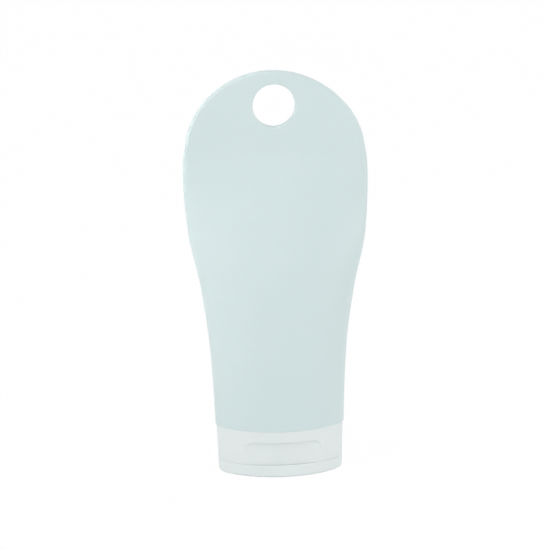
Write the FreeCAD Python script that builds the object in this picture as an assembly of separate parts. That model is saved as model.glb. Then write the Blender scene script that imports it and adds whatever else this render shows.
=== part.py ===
import FreeCAD, Part
import math
import os

# A silicone travel bottle. The soft flattened body has a thin tab with a hanging hole at its top.
# It stands on its cap: a translucent screw cap with a flip lid, worked by a thumb recess in front.
# Inside, a hard threaded collar sits round the soft neck, and a slit valve lies under the lip.
# The frame: X is the width, -Y the front, +Z up, and the origin is the middle of the foot.

# Whole bottle
total_height = 129.0
dome_radius = 29.4
shoulder_height = 15.2
parting_gap = 0.04

# Plan of the cap, a lens with rounded ends, and its draft from foot to shoulder
cap_top_half_width = 20.3
cap_top_half_depth = 13.5
cap_draft = 0.5
lens_end_share = 0.58
cap_edge_round = 0.08

# Flip lid
lid_height = 4.0
lid_wall = 1.2
lid_floor = 1.2
foot_round = 0.9

# Cap base
cap_wall = 1.2
deck_thickness = 1.4
skirt_bore_radius = 10.0
skirt_wall = 1.1
skirt_clearance = 1.2
seat_ring_wall = 0.5
seat_ring_height = 1.0

# Thumb recess in the front of the cap base
recess_width = 24.4
recess_height = 7.4
recess_depth = 1.3
recess_floor_radius = 34.0
recess_corner = 2.8

# Spout, plug and seal
orifice_radius = 1.8
spout_wall = 1.2
spout_height = 1.4
plug_clearance = 0.3
plug_reach = 1.0
seal_clearance = 0.3
seal_wall = 0.7
seal_grip = 0.45

# Film hinge at the back
hinge_width = 7.6
hinge_length = 2.6
hinge_thickness = 0.3
hinge_pocket_depth = 0.38
hinge_pocket_margin = 0.15

# Neck, lip and collar
neck_bore_radius = 6.0
neck_wall = 1.8
lip_overhang = 0.8
lip_height = 1.3
fit_clearance = 0.05
collar_wall = 1.35
peg_count = 4
peg_radius = 0.6
peg_height = 1.1

# Slit valve
valve_rim_width = 3.4
valve_thickness = 1.5
valve_membrane = 0.6
slit_length = 5.0
slit_width = 0.1

# Soft body
rim_overhang = 0.35
rim_round = 0.25
belly_swell = 0.9
body_wall = 1.8
body_floor = 2.2
wedge_drop = 3.5
wedge_half = 0.5
tab_thickness = 3.5
tab_height = 24.5
hole_radius = 6.75
hole_drop = 11.1

# The flank's outline: shares of the rise from shoulder to dome centre, and of the flare there
FLANK = [(0.0, 0.0), (0.31, 0.155), (0.54, 0.465), (0.725, 0.848), (1.0, 1.0)]
flank_foot_slope = 0.03
# The side's outline: shares of the rise from shoulder to tab, and of the half depth there
BELLY = [(0.0, 0.96), (0.35, 1.0), (0.56, 0.93), (0.73, 0.69), (0.87, 0.4), (0.965, 0.19), (1.0, 0.12)]
belly_foot_slope = 0.04
section_spacing = 5.0

# Heights and radii that follow from the sizes above
base_bottom = lid_height + parting_gap
cap_top = shoulder_height - parting_gap
deck_top = base_bottom + deck_thickness
valve_bottom = deck_top + fit_clearance
valve_top = valve_bottom + valve_thickness
lip_bottom = valve_top + fit_clearance
lip_top = lip_bottom + lip_height
neck_radius = neck_bore_radius + neck_wall
lip_radius = neck_radius + lip_overhang
collar_bore_radius = neck_radius + fit_clearance
collar_radius = collar_bore_radius + collar_wall
collar_bottom = lip_top + fit_clearance
collar_top = shoulder_height - fit_clearance
skirt_radius = skirt_bore_radius + skirt_wall
spout_radius = orifice_radius + spout_wall
spout_bottom = base_bottom - spout_height
dome_centre = total_height - dome_radius
hole_height = total_height - hole_drop
half_tab = tab_thickness / 2
tab_bottom = total_height - tab_height
rim_half_width = cap_top_half_width + rim_overhang
rim_half_depth = cap_top_half_depth + rim_overhang
belly_half_depth = cap_top_half_depth + belly_swell
hinge_height = lid_height + parting_gap / 2


def lens_wire(height, half_width, half_depth, end_radius):
    """A level outline of four arcs: front, right end, back and left end, tangent to each other."""
    end_centre = half_width - end_radius
    rise = half_depth - end_radius
    face_radius = (end_centre**2 + half_depth**2 - end_radius**2) / (2 * rise)
    reach = face_radius / (face_radius - end_radius)
    joint_x = end_centre * reach
    joint_y = math.sqrt(end_radius**2 - (joint_x - end_centre) ** 2)

    def at(x, y):
        return FreeCAD.Vector(x, y, height)

    front = Part.Arc(at(-joint_x, -joint_y), at(0, -half_depth), at(joint_x, -joint_y))
    right = Part.Arc(at(joint_x, -joint_y), at(half_width, 0), at(joint_x, joint_y))
    back = Part.Arc(at(joint_x, joint_y), at(0, half_depth), at(-joint_x, joint_y))
    left = Part.Arc(at(-joint_x, joint_y), at(-half_width, 0), at(-joint_x, -joint_y))
    return Part.Wire([arc.toShape() for arc in (front, right, back, left)])


def ring(outer_radius, inner_radius, bottom, top):
    """A plain ring about the bottle's own axis."""
    at = FreeCAD.Vector(0, 0, bottom)
    up = FreeCAD.Vector(0, 0, 1)
    outer = Part.makeCylinder(outer_radius, top - bottom, at, up)
    return outer.cut(Part.makeCylinder(inner_radius, top - bottom, at, up))


def rod(radius, bottom, top, x=0.0, y=0.0):
    """A round rod or, as a tool, a round hole, standing at x, y."""
    up = FreeCAD.Vector(0, 0, 1)
    return Part.makeCylinder(radius, top - bottom, FreeCAD.Vector(x, y, bottom), up)


def box(x_range, y_range, z_range):
    """A box between the three pairs of limits."""
    low = FreeCAD.Vector(x_range[0], y_range[0], z_range[0])
    sides = [b - a for a, b in (x_range, y_range, z_range)]
    return Part.makeBox(*sides, low)


def edges_at(shape, height, wide=0.0):
    """The edges that lie level at one height, and reach at least that far along X."""
    found = []
    for edge in shape.Edges:
        limits = edge.BoundBox
        level = abs(limits.ZMin - height) < 1e-4 and abs(limits.ZMax - height) < 1e-4
        if level and max(abs(limits.XMin), abs(limits.XMax)) >= wide:
            found.append(edge)
    return found


def cap_half_sizes(height, inset=0.0):
    """Half width and half depth of the cap at a height, less an inset all round."""
    draft = cap_draft * (1 - height / cap_top)
    return cap_top_half_width - draft - inset, cap_top_half_depth - draft - inset


def cap_block(bottom, top, inset=0.0):
    """The drafted lens of the cap between two heights, less an inset all round."""
    end_radius = lens_end_share * cap_top_half_depth
    wires = []
    for height in (bottom, top):
        half_width, half_depth = cap_half_sizes(height, inset)
        wires.append(lens_wire(height, half_width, half_depth, end_radius - inset))
    return Part.makeLoft(wires, True, True)


def hinge_floor():
    """Where the flat floor of the hinge pocket lies, along Y."""
    return cap_half_sizes(hinge_height)[1] - hinge_pocket_depth


def hinge_pocket():
    """The flat pocket that the hinge film lies in, across the parting line."""
    half_width = hinge_width / 2 + hinge_pocket_margin
    half_length = hinge_length / 2 + hinge_pocket_margin
    outside = cap_top_half_depth + cap_wall
    heights = (hinge_height - half_length, hinge_height + half_length)
    return box((-half_width, half_width), (hinge_floor(), outside), heights)


def recess_window(grow=0.0):
    """The front window that bounds the thumb recess, open at the parting line."""
    half_width = recess_width / 2 + grow
    top = base_bottom + recess_height + grow
    outside = -cap_top_half_depth - cap_wall
    window = box((-half_width, half_width), (outside, -skirt_bore_radius * 0.6), (base_bottom, top))
    corners = []
    for edge in window.Edges:
        limits = edge.BoundBox
        along_y = limits.YLength > 1 and limits.XLength < 1e-4 and limits.ZLength < 1e-4
        if along_y and limits.ZMin > top - 1e-4:
            corners.append(edge)
    return window.makeFillet(recess_corner + grow, corners)


def recess_drum(inset=0.0):
    """The upright drum whose front is the floor of the thumb recess."""
    radius = recess_floor_radius - inset
    front = -cap_top_half_depth + recess_depth
    centre = FreeCAD.Vector(0, front + recess_floor_radius, 0)
    return Part.makeCylinder(radius, cap_top, centre, FreeCAD.Vector(0, 0, 1))


def flip_lid():
    """The lid: a shallow dish with a plug and a seal ring for the spout."""
    shell = cap_block(0.0, lid_height)
    shell = shell.makeFillet(foot_round, edges_at(shell, 0.0))
    shell = shell.makeFillet(cap_edge_round, edges_at(shell, lid_height))
    hollow = cap_block(lid_floor, lid_height, lid_wall)
    lid = shell.cut(hollow)
    plug_top = base_bottom + plug_reach
    plug = rod(orifice_radius - plug_clearance, lid_floor / 2, plug_top)
    plug = plug.makeChamfer(plug_clearance, edges_at(plug, plug_top))
    seal_bore = spout_radius + seal_clearance
    seal = ring(seal_bore + seal_wall, seal_bore, lid_floor / 2, spout_bottom + seal_grip)
    return lid.fuse([plug, seal]).cut(hinge_pocket()).removeSplitter()


def cap_base():
    """The screw cap: a drafted wall, a deck with the spout, a threaded skirt and a valve seat."""
    wall = cap_block(base_bottom, cap_top)
    wall = wall.makeFillet(cap_edge_round, edges_at(wall, cap_top) + edges_at(wall, base_bottom))
    hollow = cap_block(deck_top, cap_top, cap_wall)
    backing = recess_window(cap_wall).cut(recess_drum(cap_wall))
    skirt = ring(skirt_radius, skirt_bore_radius, base_bottom, cap_top - skirt_clearance)
    bore = rod(skirt_bore_radius, deck_top, cap_top)
    base = wall.cut(hollow.cut(backing)).fuse(skirt).cut(bore)
    seat_bore = lip_radius + fit_clearance
    seat_bottom = deck_top - deck_thickness / 2
    seat = ring(seat_bore + seat_ring_wall, seat_bore, seat_bottom, deck_top + seat_ring_height)
    spout = rod(spout_radius, spout_bottom, base_bottom + deck_thickness / 2)
    base = base.fuse([seat, spout]).cut(rod(orifice_radius, spout_bottom, deck_top))
    recess = recess_window().cut(recess_drum())
    return base.cut(recess).cut(hinge_pocket()).removeSplitter()


def living_hinge():
    """The film that joins lid and base, lying in its pocket at the back."""
    floor = hinge_floor()
    heights = (hinge_height - hinge_length / 2, hinge_height + hinge_length / 2)
    return box((-hinge_width / 2, hinge_width / 2), (floor, floor + hinge_thickness), heights)


def slit_valve():
    """The soft disc that lets the contents out only when squeezed."""
    rim = ring(lip_radius, lip_radius - valve_rim_width, valve_bottom, valve_top)
    middle = (valve_bottom + valve_top) / 2
    half_membrane = valve_membrane / 2
    membrane_radius = lip_radius - valve_rim_width / 2
    membrane = rod(membrane_radius, middle - half_membrane, middle + half_membrane)
    valve = rim.fuse(membrane)
    half_slit = (-slit_length / 2, slit_length / 2)
    half_gap = (-slit_width / 2, slit_width / 2)
    depth = (valve_bottom, valve_top)
    slits = [box(half_slit, half_gap, depth), box(half_gap, half_slit, depth)]
    return valve.cut(slits).removeSplitter()


def peg_places():
    """Where the collar's pegs stand, on the middle line of its wall."""
    radius = (collar_bore_radius + collar_radius) / 2
    turns = [2 * math.pi * (k + 0.5) / peg_count for k in range(peg_count)]
    return [(radius * math.cos(turn), radius * math.sin(turn)) for turn in turns]


def threaded_collar():
    """The hard collar round the neck. Its pegs key it into the soft shoulder."""
    collar = ring(collar_radius, collar_bore_radius, collar_bottom, collar_top)
    peg_bottom = collar_top - peg_height
    pegs = [rod(peg_radius, peg_bottom, collar_top + peg_height, x, y) for x, y in peg_places()]
    return collar.fuse(pegs).removeSplitter()


def outline(places, foot_slope):
    """A curve through (height, size) places that gives the size at any height between them."""
    heights = [height for height, size in places]
    points = [FreeCAD.Vector(size, 0, height) for height, size in places]
    curve = Part.BSplineCurve()
    curve.interpolate(
        Points=points,
        Parameters=heights,
        InitialTangent=FreeCAD.Vector(foot_slope, 0, 1),
        FinalTangent=FreeCAD.Vector(0, 0, 1),
        Scale=False,
    )
    return curve


def flank_curve():
    """Half width of the body from its rim up to the dome's centre."""
    rise = dome_centre - shoulder_height
    flare = dome_radius - rim_half_width
    places = [(shoulder_height + up * rise, rim_half_width + out * flare) for up, out in FLANK]
    return outline(places, flank_foot_slope)


def belly_curve():
    """Half depth of the body from its rim up to the flat tab."""
    rise = tab_bottom - shoulder_height
    places = [(shoulder_height + up * rise, share * belly_half_depth) for up, share in BELLY]
    places[0] = (shoulder_height, rim_half_depth)
    places[-1] = (tab_bottom, half_tab)
    return outline(places, belly_foot_slope)


def body_heights():
    """Heights of the level sections: even along the flank, closer together towards the crown."""
    flank_count = max(3, round((dome_centre - shoulder_height) / section_spacing))
    step = (dome_centre - shoulder_height) / flank_count
    heights = [shoulder_height + k * step for k in range(flank_count)]
    dome_count = max(4, round(dome_radius * math.pi / 2 / section_spacing * 1.6))
    angles = [math.radians(88.5) * k / dome_count for k in range(dome_count + 1)]
    return heights + [dome_centre + dome_radius * math.sin(angle) for angle in angles]


def body_section(height, flank, belly):
    """Half width, half depth and end radius of the body's level section."""
    lean = 1.0
    half_width = flank.value(min(height, dome_centre)).x
    if height > dome_centre:
        lean = math.sqrt(1 - ((height - dome_centre) / dome_radius) ** 2)
        half_width = dome_radius * lean
    half_depth = belly.value(min(height, tab_bottom)).x
    below_apex = total_height - height
    if below_apex < half_tab:
        half_depth = math.sqrt(half_tab**2 - (half_tab - below_apex) ** 2)
    fullness = max(0.0, (half_depth - half_tab) / (belly_half_depth - half_tab))
    thin_end = min(0.97 * half_tab * lean, 0.97 * half_depth)
    full_end = lens_end_share * half_depth
    return half_width, half_depth, thin_end + (full_end - thin_end) * fullness**1.5


def body_skin():
    """The outer form of the soft body, without its neck."""
    flank, belly = flank_curve(), belly_curve()
    wires = [lens_wire(height, *body_section(height, flank, belly)) for height in body_heights()]
    return Part.makeLoft(wires, True, False)


def body_hollow():
    """The space inside the soft body, from its floor up to a thin wedge under the tab."""
    flank, belly = flank_curve(), belly_curve()
    floor = shoulder_height + body_floor
    top = tab_bottom - wedge_drop
    count = max(3, round((top - floor) / section_spacing))
    wires = []
    for k in range(count + 1):
        height = floor + k * (top - floor) / count
        half_width, half_depth, end_radius = body_section(height, flank, belly)
        inner_depth = max(half_depth - body_wall, wedge_half)
        inner_end = max(end_radius - body_wall, 0.45 * inner_depth)
        wires.append(lens_wire(height, half_width - body_wall, inner_depth, inner_end))
    return Part.makeLoft(wires, True, False)


def hanging_hole():
    """The tool for the hanging hole, straight through the tab."""
    reach = tab_thickness
    start = FreeCAD.Vector(0, -reach, hole_height)
    return Part.makeCylinder(hole_radius, 2 * reach, start, FreeCAD.Vector(0, 1, 0))


def bottle_body():
    """The soft body: hollow, with its tab above and its neck and lip below."""
    skin = body_skin()
    skin = skin.makeFillet(rim_round, edges_at(skin, shoulder_height))
    neck = rod(neck_radius, lip_bottom, shoulder_height + body_floor / 2)
    lip = rod(lip_radius, lip_bottom, lip_top)
    lip = lip.makeFillet(lip_height * 0.4, edges_at(lip, lip_top))
    body = skin.fuse([neck, lip]).cut(body_hollow())
    pockets = []
    for x, y in peg_places():
        top = collar_top + peg_height + fit_clearance
        pockets.append(rod(peg_radius + fit_clearance, collar_top, top, x, y))
    bore = rod(neck_bore_radius, lip_bottom, shoulder_height + body_floor * 2)
    return body.cut([bore, hanging_hole(), *pockets])


def save(name, shape):
    """Writes one piece, and says how large it is."""
    solids = shape.Solids
    piece = solids[0] if len(solids) == 1 else Part.makeCompound(solids)
    piece.exportStep(os.path.join("parts", name + ".step"))
    limits = piece.BoundBox
    sizes = f"{limits.XLength:.2f} x {limits.YLength:.2f} x {limits.ZLength:.2f}"
    print(f"{name}: {len(solids)} solid, {piece.Volume:.1f} mm3, {sizes} mm, valid {piece.isValid()}")


def main():
    os.makedirs("parts", exist_ok=True)
    save("bottle_body", bottle_body())
    save("threaded_collar", threaded_collar())
    save("slit_valve", slit_valve())
    save("cap_base", cap_base())
    save("living_hinge", living_hinge())
    save("flip_lid", flip_lid())


main()
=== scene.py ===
import math

import bmesh
import bpy
from mathutils import Matrix, Vector


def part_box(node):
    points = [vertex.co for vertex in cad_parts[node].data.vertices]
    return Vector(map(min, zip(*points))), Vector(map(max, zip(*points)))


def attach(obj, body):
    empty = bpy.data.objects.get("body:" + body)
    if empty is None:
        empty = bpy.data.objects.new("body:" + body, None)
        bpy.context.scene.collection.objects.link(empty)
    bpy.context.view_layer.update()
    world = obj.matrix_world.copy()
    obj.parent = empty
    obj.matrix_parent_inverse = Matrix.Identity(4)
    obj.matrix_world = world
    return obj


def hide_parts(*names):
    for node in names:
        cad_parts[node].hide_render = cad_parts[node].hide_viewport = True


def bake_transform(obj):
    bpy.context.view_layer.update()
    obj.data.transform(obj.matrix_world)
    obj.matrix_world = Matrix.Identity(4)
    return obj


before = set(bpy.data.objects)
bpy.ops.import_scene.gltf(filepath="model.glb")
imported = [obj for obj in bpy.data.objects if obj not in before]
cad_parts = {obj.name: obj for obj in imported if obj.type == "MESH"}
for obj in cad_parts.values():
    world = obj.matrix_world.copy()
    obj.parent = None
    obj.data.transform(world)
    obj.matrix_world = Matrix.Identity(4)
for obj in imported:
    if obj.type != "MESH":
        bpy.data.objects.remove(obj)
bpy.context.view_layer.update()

# A silicone travel bottle. The soft body, its film hinge and the screw threads are modelled here,
# round the collar, valve, cap and lid of the frame. Lengths are metres. Small ones are written in
# millimetres, times MM.

MM = 0.001

# Sizes read from the frame
body_low, body_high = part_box("bottle_body")
_, base_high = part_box("cap_base")
collar_low, collar_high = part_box("threaded_collar")
film_low, film_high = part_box("living_hinge")

# The body's tab, its hanging hole and its foot
SHOULDER_GAP = 0.01 * MM
HALF_TAB = 1.75 * MM
TAB_HEIGHT = 24.5 * MM
HOLE_RADIUS = 6.75 * MM
HOLE_DROP = 11.1 * MM
MOUTH_ROUND = 0.45 * MM
RIM_OVERHANG = 0.35 * MM
RIM_ROUND = 0.08 * MM

# The body's lens-shaped sections, where end radii and blends are shares of the lens's own sizes
BELLY_HALF_DEPTH = 14.4 * MM
EDGE_REACH = 1.0 * MM
LENS_END_SHARE = 0.58
THIN_END_SHARE = 0.97
FULLNESS_POWER = 1.5
FLAT_LENS = 1e-7
BLEND_REACH = 3.5 * MM
BLEND_EDGE_SHARE = 0.45
BLEND_FACE_SHARE = 0.5
BLEND_STEPS = 4

# The hollow, the neck and its lip
BODY_WALL = 1.8 * MM
BODY_FLOOR = 2.2 * MM
WEDGE_DROP = 3.5 * MM
WEDGE_HALF = 0.5 * MM
HOLLOW_END_SHARE = 0.45
NECK_BORE_RADIUS = 6.0 * MM
NECK_WALL = 1.8 * MM
LIP_OVERHANG = 0.8 * MM
LIP_HEIGHT = 1.3 * MM
LIP_ROUND_SHARE = 0.4
CORNER_CUT_SHARE = 0.3

# The slight flat below each shoulder, and the distance from the hole's wall at which the lean is full
SHOULDER_SAG = 0.42 * MM
SHOULDER_SAG_BELOW = 24.6 * MM
SHOULDER_SAG_REACH = 5.0 * MM
LEAN_FREE = 4.0 * MM

# Shares of rise and flare along the flank, and shares of rise and belly depth along the side
FLANK = [(0.0, 0.0), (0.31, 0.155), (0.54, 0.465), (0.725, 0.848), (1.0, 1.0)]
FLANK_FOOT_SLOPE = 0.03
BELLY = [
    (0.0, 0.96), (0.35, 1.0), (0.56, 0.93), (0.73, 0.67),
    (0.82, 0.45), (0.9, 0.25), (0.95, 0.155), (1.0, 0.12),
]
BELLY_FOOT_SLOPE = 0.04

# Height above the foot and sideways lean of the soft outline there, both in millimetres
LEAN = [(16, 0.0), (45, 0.05), (72, 0.36), (96, 0.1), (110, 0.0), (124, -0.62), (129, -0.8)]
LEAN_TOP_SLOPE = -0.03

# How finely the body's mesh is divided, and how near each other its corners are merged
FOOT_COLUMNS = 44
FLANK_COLUMNS = 34
DOME_COLUMNS = 72
SHEET_ROWS = 64
CAVITY_ROWS = 24
ARC_STEPS = 6
WELD_DISTANCE = 0.002 * MM
MIRROR_MERGE = 0.0005 * MM
TINY = 1e-9

# How the front's columns fan out from the hole: shares of a turn, and a power for the rows
FOOT_TURN = 0.20
FLANK_TURN = 0.17
SPREAD_POWER = 1.25

# The screw threads
THREAD_PITCH = 3.0 * MM
THREAD_TURNS = 1.25
THREAD_STEPS = 72
THREAD_RIDGE = 0.55 * MM
THREAD_FOOT = 0.9 * MM
THREAD_CREST = 0.35 * MM
THREAD_SINK = 0.06 * MM
THREAD_START = 1.2 * MM
SKIRT_BORE_RADIUS = 10.0 * MM

# The hinge film: groove and rims are shares of its half length and of its thickness
FILM_COLUMNS = 24
FILM_ROWS = 40
GROOVE_DEPTH = 0.45
GROOVE_REACH = 0.16
FILM_RIM_REACH = 0.12
FILM_RIM_THICKNESS = 0.55

# Colours as screen values from 0 to 255
MINT_PALE = (208, 222, 222)
MINT_DEEP = (203, 218, 218)
CLEAR_PALE = (240, 244, 244)
CLEAR_DEEP = (228, 235, 235)
FROST_PALE = (240, 246, 246)
FROST_DEEP = (234, 242, 241)
NATURAL_PALE = (240, 243, 242)
NATURAL_DEEP = (228, 233, 232)
WHITE = (1, 1, 1, 1)

# What the materials are mixed from
MINT_GRAIN = 0.012 * MM
CLEAR_GRAIN = 0.008 * MM
CLOUD_SHARE = 0.75
RIPPLE_WEIGHT = 1.5
GLOW_SHARE = 0.16

# The surround: how strongly it lights the bottle, and how much of the floor is plain white to the camera
ROOM_STRENGTH = 0.855
FLOOR_SEEN_SHARE = 0.97
FLOOR_GREY = 0.92
FLOOR_HALF_SIZE = 4.0

# Soft boxes: name, place, target, width and height in metres, power in watts, spread in degrees
LAMPS = [
    ("left_light", (-0.85, -0.08, 0.32), (0, 0, 0.217), 0.25, 0.25, 0.09, 24),
    ("fill_light", (-1.1, -0.86, 0.35), (0, 0, 0.08), 0.2, 0.7, 2.2, 180),
    ("right_light", (1.35, -0.55, 0.05), (0, 0, 0.03), 0.4, 0.8, 4.8, 180),
    ("front_light", (0.3, -1.5, 0.06), (0, 0, 0.05), 0.8, 0.8, 1.3, 180),
    ("top_light", (0.1, -0.9, 1.3), (0, 0, 0.05), 0.8, 0.8, 0.9, 180),
]

# The camera stands a little to the left of the front and looks gently down. Its angles are degrees.
CAMERA_DISTANCE = 0.95
CAMERA_AZIMUTH = -4.5
CAMERA_ELEVATION = 12.0
CAMERA_ROLL = 1.1
CAMERA_LENS = 195.0
CAMERA_SENSOR = 36.0
CAMERA_TARGET = Vector((-0.45 * MM, 0.0, 63.1 * MM))

# Sizes that follow from the ones above
shoulder = base_high[2] + SHOULDER_GAP
total_height = body_high[2]
dome_radius = (body_high[0] - body_low[0]) / 2
dome_centre = total_height - dome_radius
tab_bottom = total_height - TAB_HEIGHT
hole_height = total_height - HOLE_DROP
rim_half_width = base_high[0] + RIM_OVERHANG
neck_radius = NECK_BORE_RADIUS + NECK_WALL
lip_bottom = body_low[2]
lip_top = lip_bottom + LIP_HEIGHT


def curve_through(places, first_slope=0.0, last_slope=0.0):
    """A function that gives the size at any height, smooth through the (height, size) places."""
    slopes = [first_slope]
    for below, above in zip(places, places[2:]):
        slopes.append((above[1] - below[1]) / (above[0] - below[0]))
    slopes.append(last_slope)

    def size_at(height):
        height = min(max(height, places[0][0]), places[-1][0])
        here = max(k for k in range(len(places) - 1) if places[k][0] <= height)
        (low, low_size), (high, high_size) = places[here], places[here + 1]
        span = high - low
        way = (height - low) / span
        rest = 1 - way
        ends = low_size * rest * rest * (1 + 2 * way) + high_size * way * way * (3 - 2 * way)
        return ends + span * way * rest * (slopes[here] * rest - slopes[here + 1] * way)

    return size_at


rise = dome_centre - shoulder
flare = dome_radius - rim_half_width
flank_places = [(shoulder + share * rise, rim_half_width + out * flare) for share, out in FLANK]
flank_at = curve_through(flank_places, first_slope=FLANK_FOOT_SLOPE)

tab_rise = tab_bottom - shoulder
belly_places = [(shoulder + share * tab_rise, full * BELLY_HALF_DEPTH) for share, full in BELLY]
belly_at = curve_through(belly_places, first_slope=BELLY_FOOT_SLOPE)

lean_places = [(height * MM, aside * MM) for height, aside in LEAN]
lean_at = curve_through(lean_places, last_slope=LEAN_TOP_SLOPE)


def smooth_step(value, low, high):
    """Rises softly from 0 at low to 1 at high."""
    share = min(max((value - low) / (high - low), 0.0), 1.0)
    return share * share * (3 - 2 * share)


def outline_half_width(height):
    """Half width of the bottle's outline, with the slight flat below each shoulder."""
    width = flank_at(height)
    if height > dome_centre:
        width = math.sqrt(max(dome_radius**2 - (height - dome_centre) ** 2, 0.0))
    off = (height - total_height + SHOULDER_SAG_BELOW) / SHOULDER_SAG_REACH
    return width - SHOULDER_SAG * math.exp(-off * off)


def lens_half_depth(x, half_width, half_depth, end_radius):
    """Half depth at x of a rounded lens made of two face arcs and two end arcs."""
    x = min(abs(x), half_width)
    end_centre = half_width - end_radius
    face_rise = half_depth - end_radius
    if end_centre < FLAT_LENS or face_rise < FLAT_LENS:
        return math.sqrt(max(end_radius**2 - max(x - end_centre, 0.0) ** 2, 0.0))
    face_radius = (end_centre**2 + half_depth**2 - end_radius**2) / (2 * face_rise)
    joint_x = end_centre * face_radius / (face_radius - end_radius)
    if x < joint_x:
        return half_depth - face_radius + math.sqrt(face_radius**2 - x * x)
    return math.sqrt(max(end_radius**2 - (x - end_centre) ** 2, 0.0))


def soft_lens_depth(x, half_width, half_depth, end_radius):
    """The lens's half depth, averaged along x so that its arcs run into each other."""
    to_edge = BLEND_EDGE_SHARE * max(half_width - abs(x), 0.0)
    reach = min(BLEND_REACH, to_edge, BLEND_FACE_SHARE * (half_width - end_radius))
    shifts = [k / BLEND_STEPS * reach for k in range(-BLEND_STEPS, BLEND_STEPS + 1)]
    depths = [lens_half_depth(x + shift, half_width, half_depth, end_radius) for shift in shifts]
    return sum(depths) / len(depths)


def end_radius_at(half_depth):
    """How round the sides are: blunt at the foot, as thin as the tab further up."""
    fullness = max(0.0, (half_depth - HALF_TAB) / (BELLY_HALF_DEPTH - HALF_TAB))
    thin = THIN_END_SHARE * min(HALF_TAB, half_depth)
    return thin + (LENS_END_SHARE * half_depth - thin) * fullness**FULLNESS_POWER


def edge_distance(x, height):
    """How far a place on the front lies inside the outline."""
    if height <= dome_centre:
        return max(outline_half_width(height) - abs(x), 0.0)
    away = math.hypot(x, height - dome_centre)
    edge_height = dome_centre + dome_radius * (height - dome_centre) / max(away, TINY)
    reach = math.hypot(outline_half_width(edge_height), edge_height - dome_centre)
    return max(reach - away, 0.0)


def front_depth(x, height):
    """Half depth of the body at a place on its front: a flat tab above, a full belly below."""
    inside = min(edge_distance(x, height) / EDGE_REACH, 1.0)
    tab = HALF_TAB * math.sqrt(max(1 - (1 - inside) ** 2, 0.0))
    if height >= tab_bottom:
        return tab
    half_depth = belly_at(height)
    belly = soft_lens_depth(x, outline_half_width(height), half_depth, end_radius_at(half_depth))
    return belly + (tab - belly) * smooth_step(height, dome_centre, tab_bottom)


def grid_sheet(bm, columns, rows, place):
    """Adds a grid of faces, each corner moved to place(u, v), with u and v from 0 to 1."""
    made = bmesh.ops.create_grid(bm, x_segments=columns, y_segments=rows, size=0.5)
    for vert in made["verts"]:
        vert.co = place(vert.co.x + 0.5, vert.co.y + 0.5)


def weld(bm):
    """Merges corners that meet and turns the faces outwards."""
    bmesh.ops.remove_doubles(bm, verts=bm.verts, dist=WELD_DISTANCE)
    bmesh.ops.dissolve_degenerate(bm, dist=WELD_DISTANCE / 2, edges=bm.edges)
    bmesh.ops.recalc_face_normals(bm, faces=bm.faces)


def finished(bm, name, material, body=None):
    """Turns a bmesh into a smooth object with its material, slot and body."""
    mesh = bpy.data.meshes.new(name)
    bm.to_mesh(mesh)
    bm.free()
    mesh.shade_smooth()
    piece = bpy.data.objects.new(name, mesh)
    bpy.context.scene.collection.objects.link(piece)
    mesh.materials.append(material)
    if body:
        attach(piece, body)
    return piece


def outline_place(step):
    """The outline's place for a step that counts round: foot, right flank, dome, left flank."""
    foot = shoulder + RIM_ROUND
    if step <= FOOT_COLUMNS:
        return -outline_half_width(foot) * math.cos(math.pi * step / FOOT_COLUMNS), foot
    step -= FOOT_COLUMNS
    if step <= FLANK_COLUMNS:
        height = foot + (dome_centre - foot) * step / FLANK_COLUMNS
        return outline_half_width(height), height
    step -= FLANK_COLUMNS
    if step <= DOME_COLUMNS:
        height = dome_centre + dome_radius * math.sin(math.pi * step / DOME_COLUMNS)
        if step * 2 == DOME_COLUMNS:
            return 0.0, height
        side = 1 if step * 2 < DOME_COLUMNS else -1
        return side * outline_half_width(height), height
    step -= DOME_COLUMNS
    height = dome_centre + (foot - dome_centre) * step / FLANK_COLUMNS
    return -outline_half_width(height), height


def body_front(bm):
    """The front half of the outside, spread from the hole's mouth to the outline."""
    columns = FOOT_COLUMNS + 2 * FLANK_COLUMNS + DOME_COLUMNS
    rows = SHEET_ROWS + 2 * ARC_STEPS
    mouth = HOLE_RADIUS + MOUTH_ROUND
    half_foot = FOOT_TURN / 2
    stops = [0, FOOT_COLUMNS, FOOT_COLUMNS + FLANK_COLUMNS, columns - FLANK_COLUMNS, columns]
    turns = [-half_foot, half_foot, half_foot + FLANK_TURN, 1 - half_foot - FLANK_TURN, 1 - half_foot]

    def hole_turn(step):
        """How far round the hole each column starts, so that columns fan out evenly."""
        here = max(k for k in range(len(stops) - 1) if stops[k] <= step)
        share = (step - stops[here]) / (stops[here + 1] - stops[here])
        return turns[here] + (turns[here + 1] - turns[here]) * share

    def round_hole(turn, radius, depth):
        return Vector((radius * math.cos(turn), -depth, hole_height + radius * math.sin(turn)))

    def place(u, v):
        """First the hole's wall, then its rounded mouth, then the front as far as the outline."""
        step = round(u * columns)
        turn = 2 * math.pi * hole_turn(step) - math.pi / 2
        row = round(v * rows)
        if row < ARC_STEPS:
            return round_hole(turn, HOLE_RADIUS, (HALF_TAB - MOUTH_ROUND) * row / ARC_STEPS)
        if row < 2 * ARC_STEPS:
            bend = math.pi / 2 * (row - ARC_STEPS) / ARC_STEPS
            depth = HALF_TAB - MOUTH_ROUND + MOUTH_ROUND * math.sin(bend)
            return round_hole(turn, mouth - MOUTH_ROUND * math.cos(bend), depth)
        way = (row - 2 * ARC_STEPS) / SHEET_ROWS
        share = math.sin(math.pi / 2 * way**SPREAD_POWER)
        edge_x, edge_z = outline_place(step)
        x = mouth * math.cos(turn) * (1 - share) + edge_x * share
        z = (hole_height + mouth * math.sin(turn)) * (1 - share) + edge_z * share
        on_outline = row == rows and step >= FOOT_COLUMNS
        return Vector((x, 0.0 if on_outline else -front_depth(x, z), z))

    grid_sheet(bm, columns, rows, place)


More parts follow.
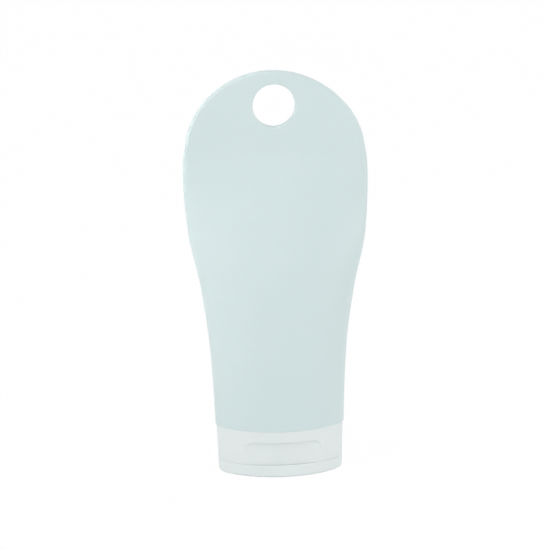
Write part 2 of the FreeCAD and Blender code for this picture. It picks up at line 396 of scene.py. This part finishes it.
def rim_sections():
    """The foot's rounded rim. A section is a half width, half depth, end radius and height."""
    foot = shoulder + RIM_ROUND
    half_width = outline_half_width(foot)
    half_depth = belly_at(foot)
    end_radius = end_radius_at(half_depth)
    sections = []
    for k in range(ARC_STEPS + 1):
        bend = math.pi / 2 * k / ARC_STEPS
        inset = RIM_ROUND * (1 - math.cos(bend))
        height = shoulder + RIM_ROUND * (1 - math.sin(bend))
        sections.append((half_width - inset, half_depth - inset, end_radius - inset, height))
    return sections


def neck_sections(floor):
    """Round sections down the neck, round its lip and up its bore to the hollow's floor."""
    lip_radius = neck_radius + LIP_OVERHANG
    lip_round = LIP_ROUND_SHARE * LIP_HEIGHT
    corner_cut = CORNER_CUT_SHARE * lip_round
    rounds = [
        (neck_radius, shoulder),
        (neck_radius, lip_top),
        (lip_radius - lip_round, lip_top),
        (lip_radius - corner_cut, lip_top - corner_cut),
        (lip_radius, lip_top - lip_round),
        (lip_radius, lip_bottom),
        (NECK_BORE_RADIUS, lip_bottom),
        (NECK_BORE_RADIUS, floor),
    ]
    return [(radius, radius, radius, height) for radius, height in rounds]


def hollow_sections(floor):
    """Lens sections up the hollow, which ends in a wedge below the tab."""
    top = tab_bottom - WEDGE_DROP
    sections = []
    for k in range(CAVITY_ROWS + 1):
        height = floor + (top - floor) * k / CAVITY_ROWS
        half_depth = belly_at(height)
        inner_depth = max(half_depth - BODY_WALL, WEDGE_HALF)
        inner_end = max(end_radius_at(half_depth) - BODY_WALL, HOLLOW_END_SHARE * inner_depth)
        sections.append((outline_half_width(height) - BODY_WALL, inner_depth, inner_end, height))
    sections.append((sections[-1][0] - WEDGE_HALF, 0.0, 0.0, top + WEDGE_HALF))
    return sections


def body_inside(bm):
    """Foot, neck, lip and hollow as one sheet, swept along the sections."""
    floor = shoulder + BODY_FLOOR
    sections = rim_sections() + neck_sections(floor) + hollow_sections(floor)
    columns = 2 * FOOT_COLUMNS
    rows = len(sections) - 1

    def place(u, v):
        turn = 2 * math.pi * round(u * columns) / columns
        half_width, half_depth, end_radius, height = sections[round(v * rows)]
        x = half_width * math.cos(turn)
        if abs(math.sin(turn)) < TINY or half_depth == 0.0:
            return Vector((x, 0.0, height))
        side = 1 if math.sin(turn) > 0 else -1
        return Vector((x, side * soft_lens_depth(x, half_width, half_depth, end_radius), height))

    grid_sheet(bm, columns, rows, place)


def lean(bm):
    """Leans the outline a little, as soft silicone stands, and leaves the hole where it is."""
    for vert in bm.verts:
        away = math.hypot(vert.co.x, vert.co.z - hole_height) - HOLE_RADIUS
        vert.co.x += lean_at(vert.co.z) * smooth_step(away, MOUTH_ROUND, LEAN_FREE)


def soft_body(material):
    """The whole silicone moulding."""
    bm = bmesh.new()
    body_front(bm)
    weld(bm)
    bmesh.ops.mirror(bm, geom=bm.verts[:] + bm.edges[:] + bm.faces[:], axis="Y", merge_dist=MIRROR_MERGE)
    body_inside(bm)
    weld(bm)
    lean(bm)
    piece = finished(bm, "soft_body", material, "bottle")
    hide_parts("bottle_body")


def screw_thread(name, root_radius, outward, start_height, material, body):
    """A raised helical ridge, on the outside or the inside of a round wall."""
    bm = bmesh.new()
    made = bmesh.ops.create_grid(bm, x_segments=1, y_segments=1, size=0.5)
    for vert in made["verts"]:
        at_crest = vert.co.x > 0
        half = (THREAD_CREST if at_crest else THREAD_FOOT) / 2
        radius = root_radius + outward * (THREAD_RIDGE if at_crest else -THREAD_SINK)
        vert.co = Vector((radius, 0.0, start_height + math.copysign(half, vert.co.y)))
    bmesh.ops.spin(
        bm,
        geom=bm.verts[:] + bm.edges[:] + bm.faces[:],
        cent=(0, 0, 0),
        axis=(0, 0, 1),
        dvec=(0, 0, THREAD_PITCH * THREAD_TURNS / THREAD_STEPS),
        angle=2 * math.pi * THREAD_TURNS,
        steps=THREAD_STEPS,
        use_duplicate=False,
    )
    weld(bm)
    finished(bm, name, material, body)


def screw_threads(collar_material, cap_material):
    """The collar's thread, and the cap's in its skirt, which starts half a pitch lower."""
    start = collar_low[2] + THREAD_START
    collar_radius = (collar_high[0] - collar_low[0]) / 2
    screw_thread("collar_thread", collar_radius, 1, start, collar_material, "bottle")
    start -= THREAD_PITCH / 2
    screw_thread("cap_thread", SKIRT_BORE_RADIUS, -1, start, cap_material, "cap")


def hinge_film(material):
    """The film that joins lid and base, thinned along the line where it bends."""
    bend_height = (film_low[2] + film_high[2]) / 2
    half_length = (film_high[2] - film_low[2]) / 2
    thickness = film_high[1] - film_low[1]
    bm = bmesh.new()

    def place(u, v):
        x = film_low[0] + u * (film_high[0] - film_low[0])
        z = film_low[2] + v * (film_high[2] - film_low[2])
        return Vector((x, film_low[1], z))

    grid_sheet(bm, FILM_COLUMNS, FILM_ROWS, place)
    made = bmesh.ops.extrude_face_region(bm, geom=bm.faces[:])
    for vert in made["geom"]:
        if isinstance(vert, bmesh.types.BMVert):
            off = abs(vert.co.z - bend_height) / half_length
            groove = GROOVE_DEPTH * math.exp(-((off / GROOVE_REACH) ** 2))
            inward = smooth_step(1 - off, 0.0, FILM_RIM_REACH)
            fullness = FILM_RIM_THICKNESS + (1 - FILM_RIM_THICKNESS) * inward
            vert.co.y += thickness * (1 - groove) * fullness
    weld(bm)
    piece = finished(bm, "hinge_film", material)
    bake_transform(piece)
    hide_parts("living_hinge")


class Wire:
    """A shader value that takes part in sums and products."""

    def __init__(self, nodes, socket):
        self.nodes = nodes
        self.socket = socket

    def _math(self, operation, first, second):
        return self.nodes.add("ShaderNodeMath", {"operation": operation}, {0: first, 1: second})

    def __add__(self, other):
        return self._math("ADD", self, other)

    def __radd__(self, other):
        return self._math("ADD", other, self)

    def __mul__(self, other):
        return self._math("MULTIPLY", self, other)

    def __rmul__(self, other):
        return self._math("MULTIPLY", other, self)


class Nodes:
    """The node tree of one material or world, written as calls."""

    def __init__(self, owner):
        owner.use_nodes = True
        self.tree = owner.node_tree
        self.tree.nodes.clear()

    def add(self, kind, settings=None, inputs=None, output=0):
        """One node: its settings first, then its sockets' values or links. Gives one output."""
        node = self.tree.nodes.new(kind)
        for key, value in (settings or {}).items():
            setattr(node, key, value)
        for key, value in (inputs or {}).items():
            if isinstance(value, Wire):
                self.tree.links.new(value.socket, node.inputs[key])
            else:
                node.inputs[key].default_value = value
        return Wire(self, node.outputs[output]) if len(node.outputs) else None

    def mix(self, factor, first, second):
        """A colour between two colours."""
        settings = {"data_type": "RGBA"}
        return self.add("ShaderNodeMix", settings, {0: factor, 6: first, 7: second}, output=2)

    def larger(self, first, second):
        """The larger of two values."""
        return self.add("ShaderNodeMath", {"operation": "MAXIMUM"}, {0: first, 1: second})

    def position(self):
        """Object coordinates in millimetres."""
        place = self.add("ShaderNodeTexCoord", output="Object")
        return self.add("ShaderNodeMapping", None, {"Vector": place, "Scale": (1 / MM, 1 / MM, 1 / MM)})

    def noise(self, scale, detail=2.0, roughness=0.5):
        """Noise from 0 to 1 with features about 1 / scale millimetres wide."""
        inputs = {"Vector": self.position(), "Scale": scale, "Detail": detail, "Roughness": roughness}
        return self.add("ShaderNodeTexNoise", None, inputs, output="Fac")

    def drift(self, low, spread, scale):
        """A value that drifts between low and low + spread."""
        return low + spread * self.noise(scale)

    def bump(self, height, distance, strength):
        """A surface that is raised by up to distance where height is 1."""
        inputs = {"Height": height, "Distance": distance, "Strength": strength}
        return self.add("ShaderNodeBump", None, inputs)

    def surface(self, shader):
        """The material's output."""
        self.add("ShaderNodeOutputMaterial", None, {"Surface": shader})


def linear(screen):
    """A colour given as 0 to 255 screen values, for a shader's socket."""
    parts = [value / 255 for value in screen]
    return tuple(v / 12.92 if v <= 0.04045 else ((v + 0.055) / 1.055) ** 2.4 for v in parts) + (1.0,)


def silicone(name, pale, deep, grain):
    """Matte silicone: a soft cloudy colour, a powdery skin and a little light inside."""
    material = bpy.data.materials.new(name)
    nodes = Nodes(material)
    cloud = nodes.noise(scale=0.045, detail=3.0, roughness=0.55)
    speck = nodes.noise(scale=1.6, detail=2.0, roughness=0.6)
    colour = nodes.mix(cloud * CLOUD_SHARE + speck * (1 - CLOUD_SHARE), linear(deep), linear(pale))
    powder = nodes.noise(scale=5.5, detail=3.0, roughness=0.6)
    ripple = nodes.noise(scale=0.22)
    skin = powder + ripple * RIPPLE_WEIGHT
    shader = nodes.add("ShaderNodeBsdfPrincipled", None, {
        "Base Color": colour,
        "Roughness": nodes.drift(low=0.35, spread=0.12, scale=0.35),
        "IOR": 1.41,
        "Specular IOR Level": 0.55,
        "Subsurface Weight": 0.12,
        "Subsurface Radius": (1.0, 1.0, 1.0),
        "Subsurface Scale": 1.2 * MM,
        "Normal": nodes.bump(skin, distance=grain, strength=0.6),
    })
    nodes.surface(shader)
    return material


def frosted_plastic():
    """Milky translucent plastic that lets what lies behind it glow through."""
    material = bpy.data.materials.new("frosted_plastic")
    nodes = Nodes(material)
    cloud = nodes.noise(scale=0.12, detail=3.0, roughness=0.55)
    frost = nodes.noise(scale=3.2, detail=3.0, roughness=0.6)
    skin = nodes.bump(frost, distance=0.02 * MM, strength=0.5)
    colour = nodes.mix(cloud, linear(FROST_DEEP), linear(FROST_PALE))
    shell = nodes.add("ShaderNodeBsdfPrincipled", None, {
        "Base Color": colour,
        "Roughness": nodes.drift(low=0.35, spread=0.1, scale=0.5),
        "IOR": 1.49,
        "Normal": skin,
    })
    glow = nodes.add("ShaderNodeBsdfTranslucent", None, {"Color": colour, "Normal": skin})
    nodes.surface(nodes.add("ShaderNodeMixShader", None, {0: GLOW_SHARE, 1: shell, 2: glow}))
    return material


def collar_plastic():
    """Plain natural plastic, a little glossier than the cap."""
    material = bpy.data.materials.new("collar_plastic")
    nodes = Nodes(material)
    shader = nodes.add("ShaderNodeBsdfPrincipled", None, {
        "Base Color": nodes.mix(nodes.noise(scale=0.3), linear(NATURAL_DEEP), linear(NATURAL_PALE)),
        "Roughness": nodes.drift(low=0.34, spread=0.1, scale=0.8),
        "Normal": nodes.bump(nodes.noise(scale=2.5), distance=0.015 * MM, strength=0.5),
    })
    nodes.surface(shader)
    return material


def dress(node, material):
    """Gives a node of the frame its material."""
    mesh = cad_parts[node].data
    mesh.materials.clear()
    mesh.materials.append(material)


def seen(nodes):
    """1 for what the camera sees, also in gloss and through glass, and 0 for what only lights."""
    camera_ray = nodes.add("ShaderNodeLightPath", output="Is Camera Ray")
    glossy_ray = nodes.add("ShaderNodeLightPath", output="Is Glossy Ray")
    passing_ray = nodes.add("ShaderNodeLightPath", output="Is Transmission Ray")
    return nodes.larger(nodes.larger(camera_ray, glossy_ray), passing_ray)


def surround():
    """A world that looks white and gives a softer, even light."""
    world = bpy.data.worlds.new("surround")
    bpy.context.scene.world = world
    nodes = Nodes(world)
    is_seen = seen(nodes)
    white = nodes.add("ShaderNodeBackground", None, {"Color": WHITE, "Strength": 1.0})
    room = nodes.add("ShaderNodeBackground", None, {"Color": WHITE, "Strength": ROOM_STRENGTH})
    both = nodes.add("ShaderNodeMixShader", None, {0: is_seen, 1: room, 2: white})
    nodes.add("ShaderNodeOutputWorld", None, {"Surface": both})


def pale_floor():
    """A wide floor that looks nearly white and keeps a trace of the bottle's shadow."""
    bm = bmesh.new()
    bmesh.ops.create_grid(bm, x_segments=1, y_segments=1, size=FLOOR_HALF_SIZE)
    mesh = bpy.data.meshes.new("floor")
    bm.to_mesh(mesh)
    bm.free()
    floor = bpy.data.objects.new("floor", mesh)
    bpy.context.scene.collection.objects.link(floor)
    material = bpy.data.materials.new("floor_white")
    mesh.materials.append(material)
    nodes = Nodes(material)
    is_seen = seen(nodes)
    grey = (FLOOR_GREY, FLOOR_GREY, FLOOR_GREY, 1)
    matte = nodes.add("ShaderNodeBsdfDiffuse", None, {"Color": grey})
    glow = nodes.add("ShaderNodeEmission", None, {"Color": WHITE, "Strength": 1.0})
    share = is_seen * FLOOR_SEEN_SHARE
    nodes.surface(nodes.add("ShaderNodeMixShader", None, {0: share, 1: matte, 2: glow}))


def soft_lamp(name, place, target, width, height, power, spread):
    """A soft box at place, turned to target."""
    data = bpy.data.lights.new(name, "AREA")
    data.shape = "RECTANGLE"
    data.size = width
    data.size_y = height
    data.energy = power
    data.spread = math.radians(spread)
    lamp = bpy.data.objects.new(name, data)
    lamp.location = place
    lamp.rotation_euler = (Vector(place) - Vector(target)).to_track_quat("Z", "Y").to_euler()
    bpy.context.scene.collection.objects.link(lamp)


def camera():
    """The photo's long lens, aimed at the middle of the bottle."""
    data = bpy.data.cameras.new("camera")
    data.lens = CAMERA_LENS
    data.sensor_width = CAMERA_SENSOR
    data.clip_start = 0.01
    data.clip_end = 50.0
    eye = bpy.data.objects.new("camera", data)
    turn, lift = math.radians(CAMERA_AZIMUTH), math.radians(CAMERA_ELEVATION)
    back = Vector((math.sin(turn) * math.cos(lift), -math.cos(turn) * math.cos(lift), math.sin(lift)))
    facing = back.to_track_quat("Z", "Y").to_matrix().to_4x4()
    roll = Matrix.Rotation(math.radians(-CAMERA_ROLL), 4, "Z")
    eye.matrix_world = Matrix.Translation(CAMERA_TARGET + back * CAMERA_DISTANCE) @ facing @ roll
    bpy.context.scene.collection.objects.link(eye)
    bpy.context.scene.camera = eye


def main():
    mint = silicone("mint_silicone", MINT_PALE, MINT_DEEP, MINT_GRAIN)
    clear = silicone("valve_silicone", CLEAR_PALE, CLEAR_DEEP, CLEAR_GRAIN)
    frosted = frosted_plastic()
    natural = collar_plastic()

    soft_body(mint)
    dress("slit_valve", clear)
    dress("threaded_collar", natural)
    dress("cap_base", frosted)
    dress("flip_lid", frosted)
    hinge_film(frosted)
    screw_threads(natural, frosted)

    surround()
    pale_floor()
    for lamp in LAMPS:
        soft_lamp(*lamp)
    camera()
    bpy.context.scene.view_settings.view_transform = "Standard"


main()
